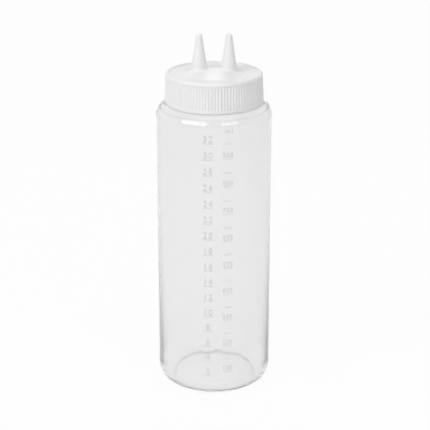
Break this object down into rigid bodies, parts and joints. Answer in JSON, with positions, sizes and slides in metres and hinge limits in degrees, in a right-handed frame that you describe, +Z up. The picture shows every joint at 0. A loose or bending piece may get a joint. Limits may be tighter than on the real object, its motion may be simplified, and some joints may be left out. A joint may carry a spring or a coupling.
{
  "type": "squeeze bottle",
  "caption": "Tall round translucent squeeze bottle with an embossed volume scale and a ribbed white screw cap that carries two tapered dispensing nozzles.",
  "frame": {"origin": "centre of the base, on the surface the bottle stands on", "axes": "+Z up along the bottle's axis, +X along the pair of nozzles, -Y towards the graduated side"},
  "size_m": [0.083, 0.0831, 0.2632],
  "materials": {
    "bottle_plastic": "translucent, softly glossy",
    "cap_plastic": "satin moulded"
  },
  "bodies": {
    "bottle": {"bottle": "bottle_plastic"},
    "cap": {"cap": "cap_plastic"}
  },
  "joints": [
    {"name": "cap_lift", "type": "slide", "parent": "bottle", "child": "cap", "axis": [0, 0, 1], "range_m": [0, 0.024]}
  ]
}
